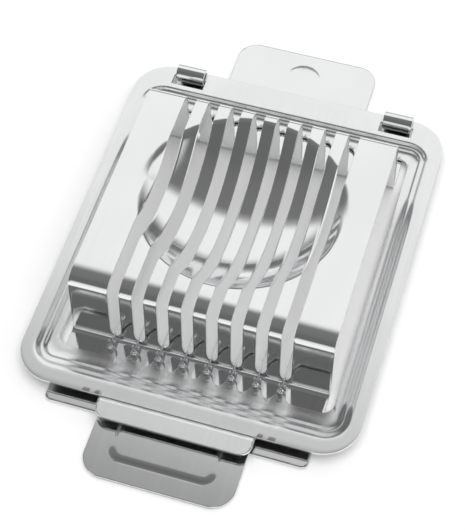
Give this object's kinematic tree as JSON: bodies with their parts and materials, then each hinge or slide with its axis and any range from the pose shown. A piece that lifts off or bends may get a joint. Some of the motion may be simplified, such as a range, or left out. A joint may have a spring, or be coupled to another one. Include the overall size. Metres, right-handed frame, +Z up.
{
  "type": "egg slicer",
  "caption": "All-steel egg slicer: a raised slotted cradle with a round egg cup, and a hinged frame of taut parallel wires with a thumb tab.",
  "frame": {"origin": "centre of the bounding box in X and Y, on the table plane under the base strip", "axes": "+X to the right seen from the thumb tab, +Y from the thumb tab to the hinge, +Z up out of the egg cup"},
  "size_m": [0.0832, 0.1346, 0.0206],
  "materials": {
    "polished_steel": "mirror polished stainless sheet",
    "satin_steel": "fine satin stainless sheet with bright pressed bends",
    "wire_steel": "drawn stainless spring wire",
    "ferrule_steel": "crimped stainless sleeve, bright"
  },
  "bodies": {
    "base": {"base_cradle": "polished_steel"},
    "frame": {"cutting_frame": "satin_steel", "wire_1": "wire_steel", "wire_2": "wire_steel", "wire_3": "wire_steel", "wire_4": "wire_steel", "wire_5": "wire_steel", "wire_6": "wire_steel", "wire_7": "wire_steel", "wire_8": "wire_steel", "ferrule_front_1": "ferrule_steel", "ferrule_front_2": "ferrule_steel", "ferrule_front_3": "ferrule_steel", "ferrule_front_4": "ferrule_steel", "ferrule_front_5": "ferrule_steel", "ferrule_front_6": "ferrule_steel", "ferrule_front_7": "ferrule_steel", "ferrule_front_8": "ferrule_steel", "ferrule_back_1": "ferrule_steel", "ferrule_back_2": "ferrule_steel", "ferrule_back_3": "ferrule_steel", "ferrule_back_4": "ferrule_steel", "ferrule_back_5": "ferrule_steel", "ferrule_back_6": "ferrule_steel", "ferrule_back_7": "ferrule_steel", "ferrule_back_8": "ferrule_steel"}
  },
  "joints": [
    {"name": "frame_hinge", "type": "hinge", "parent": "base", "child": "frame", "pos_m": [0, 0.0498, 0.0032], "axis": [-1, 0, 0], "range_deg": [0, 110]}
  ]
}
